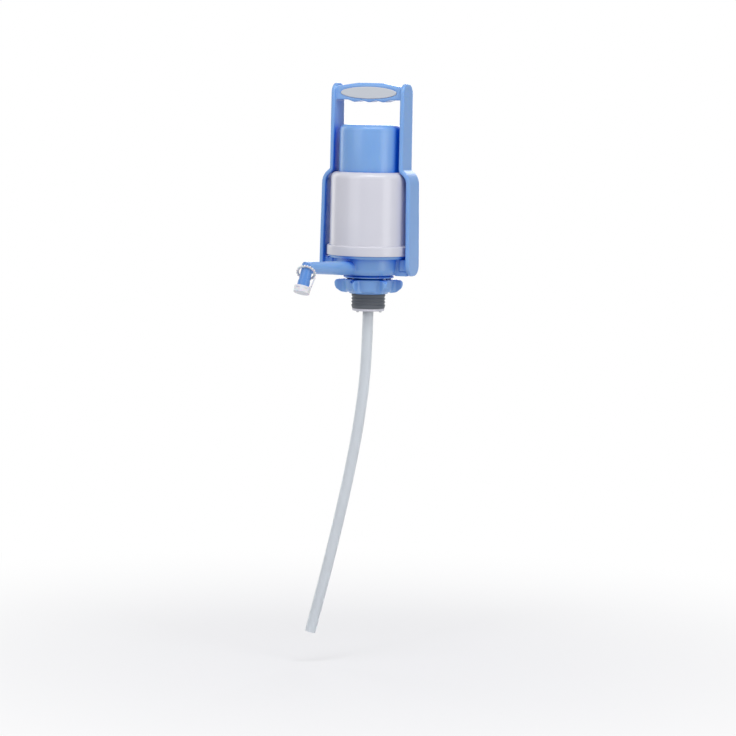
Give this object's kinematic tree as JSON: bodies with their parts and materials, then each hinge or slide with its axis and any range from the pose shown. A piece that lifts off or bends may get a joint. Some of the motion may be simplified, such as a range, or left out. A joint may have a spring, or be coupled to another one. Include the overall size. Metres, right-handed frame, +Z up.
{
  "type": "water jug hand pump",
  "caption": "Hand press pump that stands on a water jug's mouth, with a carry handle, push cap, side spout with capped nozzle, winged locking collar and dip hose.",
  "frame": {"origin": "centre of the jug mouth's rim, where the collar's foot and the bung's upper edge lie", "axes": "+Z up along the pump's axis, +X across the handle frame, -Y to the front with the spout a little to the left of it"},
  "size_m": [0.1328, 0.2066, 0.7194],
  "materials": {
    "blue_plastic": "satin moulded plastic",
    "deep_blue_plastic": "satin moulded plastic",
    "white_plastic": "satin moulded plastic",
    "pad_grey": "matt soft-touch plastic",
    "grey_rubber": "matt silicone rubber",
    "steel": "bright stainless steel",
    "clear_hose": "translucent silicone"
  },
  "bodies": {
    "pump_body": {"base": "blue_plastic", "neck_bung": "grey_rubber", "bung_retainer": "white_plastic", "retainer_screws": "steel", "barrel": "white_plastic", "barrel_seal": "grey_rubber", "guide_ring": "white_plastic", "check_valve": "grey_rubber", "hose_barb": "white_plastic", "barb_seal": "grey_rubber", "dip_hose": "clear_hose", "spout_tube": "blue_plastic", "spout_seal": "grey_rubber", "outlet_nozzle": "deep_blue_plastic", "handle_frame": "blue_plastic", "grip_pad_front": "pad_grey", "grip_pad_rear": "pad_grey", "handle_screws": "steel", "return_spring": "steel"},
    "plunger": {"push_cap": "blue_plastic", "piston": "white_plastic", "piston_seal": "grey_rubber", "piston_screws": "steel", "intake_valve": "grey_rubber"},
    "slip_ring": {"slip_ring": "white_plastic"},
    "collar": {"locking_collar": "blue_plastic"},
    "tether": {"tether_ring": "white_plastic", "cap_tether": "white_plastic"},
    "dust_cap": {"dust_cap": "white_plastic"}
  },
  "joints": [
    {"name": "cap_press", "type": "slide", "parent": "pump_body", "child": "plunger", "axis": [0, 0, 1], "range_m": [-0.048, 0], "stiffness_N_per_m": 400, "springref_m": 0.02, "deforming": ["return_spring"]},
    {"name": "collar_rise", "type": "slide", "parent": "pump_body", "child": "slip_ring", "axis": [0, 0, 1], "range_m": [0, 0.001]},
    {"name": "collar_turn", "type": "hinge", "parent": "slip_ring", "child": "collar", "pos_m": [0, 0, 0], "axis": [0, 0, 1], "range_deg": [0, 90]},
    {"name": "tether_swing", "type": "hinge", "parent": "pump_body", "child": "tether", "pos_m": [-0.02886, -0.13019, 0.03889], "axis": [-0.0776, -0.3499, -0.9336], "range_deg": [-30, 90]},
    {"name": "dust_cap_pull", "type": "slide", "parent": "tether", "child": "dust_cap", "axis": [-0.0776, -0.3499, -0.9336], "range_m": [0, 0.014], "deforming": ["cap_tether"]}
  ],
  "couplings": [
    {"joint": "collar_rise", "follows": "collar_turn", "m_per_rad": 0.00063662}
  ]
}
